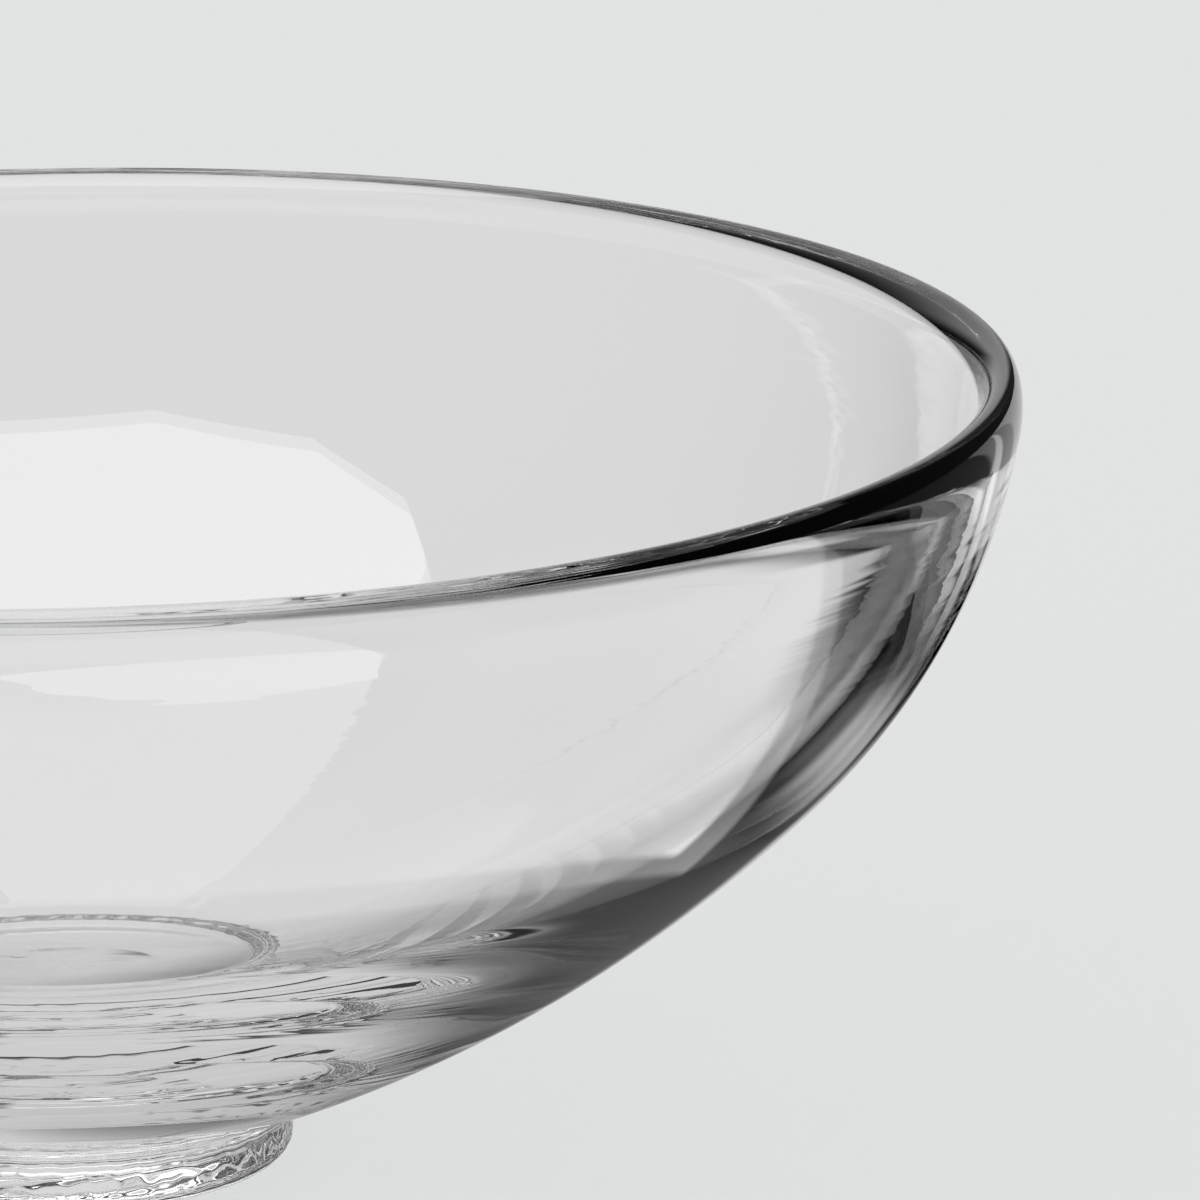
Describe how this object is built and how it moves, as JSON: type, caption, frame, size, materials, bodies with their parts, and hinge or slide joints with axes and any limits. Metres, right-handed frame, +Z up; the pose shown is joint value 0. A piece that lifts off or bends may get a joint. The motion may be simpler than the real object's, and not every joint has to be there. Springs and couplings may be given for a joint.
{
  "type": "footed glass bowl",
  "caption": "Round clear glass bowl with a thick rounded lip and a curved side, standing on a small glass foot fused to its underside.",
  "frame": {"origin": "middle of the foot's underside, in the plane of the table that the bowl stands on", "axes": "+Z up, along the axis that bowl and foot are turned about; X and Y level"},
  "size_m": [0.2492, 0.249, 0.1046],
  "materials": {
    "bowl_glass": "clear, fire-polished",
    "foot_glass": "clear, wrinkled where it cooled against the tool, polished underneath"
  },
  "bodies": {
    "root": {"bowl": "bowl_glass", "foot": "foot_glass"}
  },
  "joints": []
}
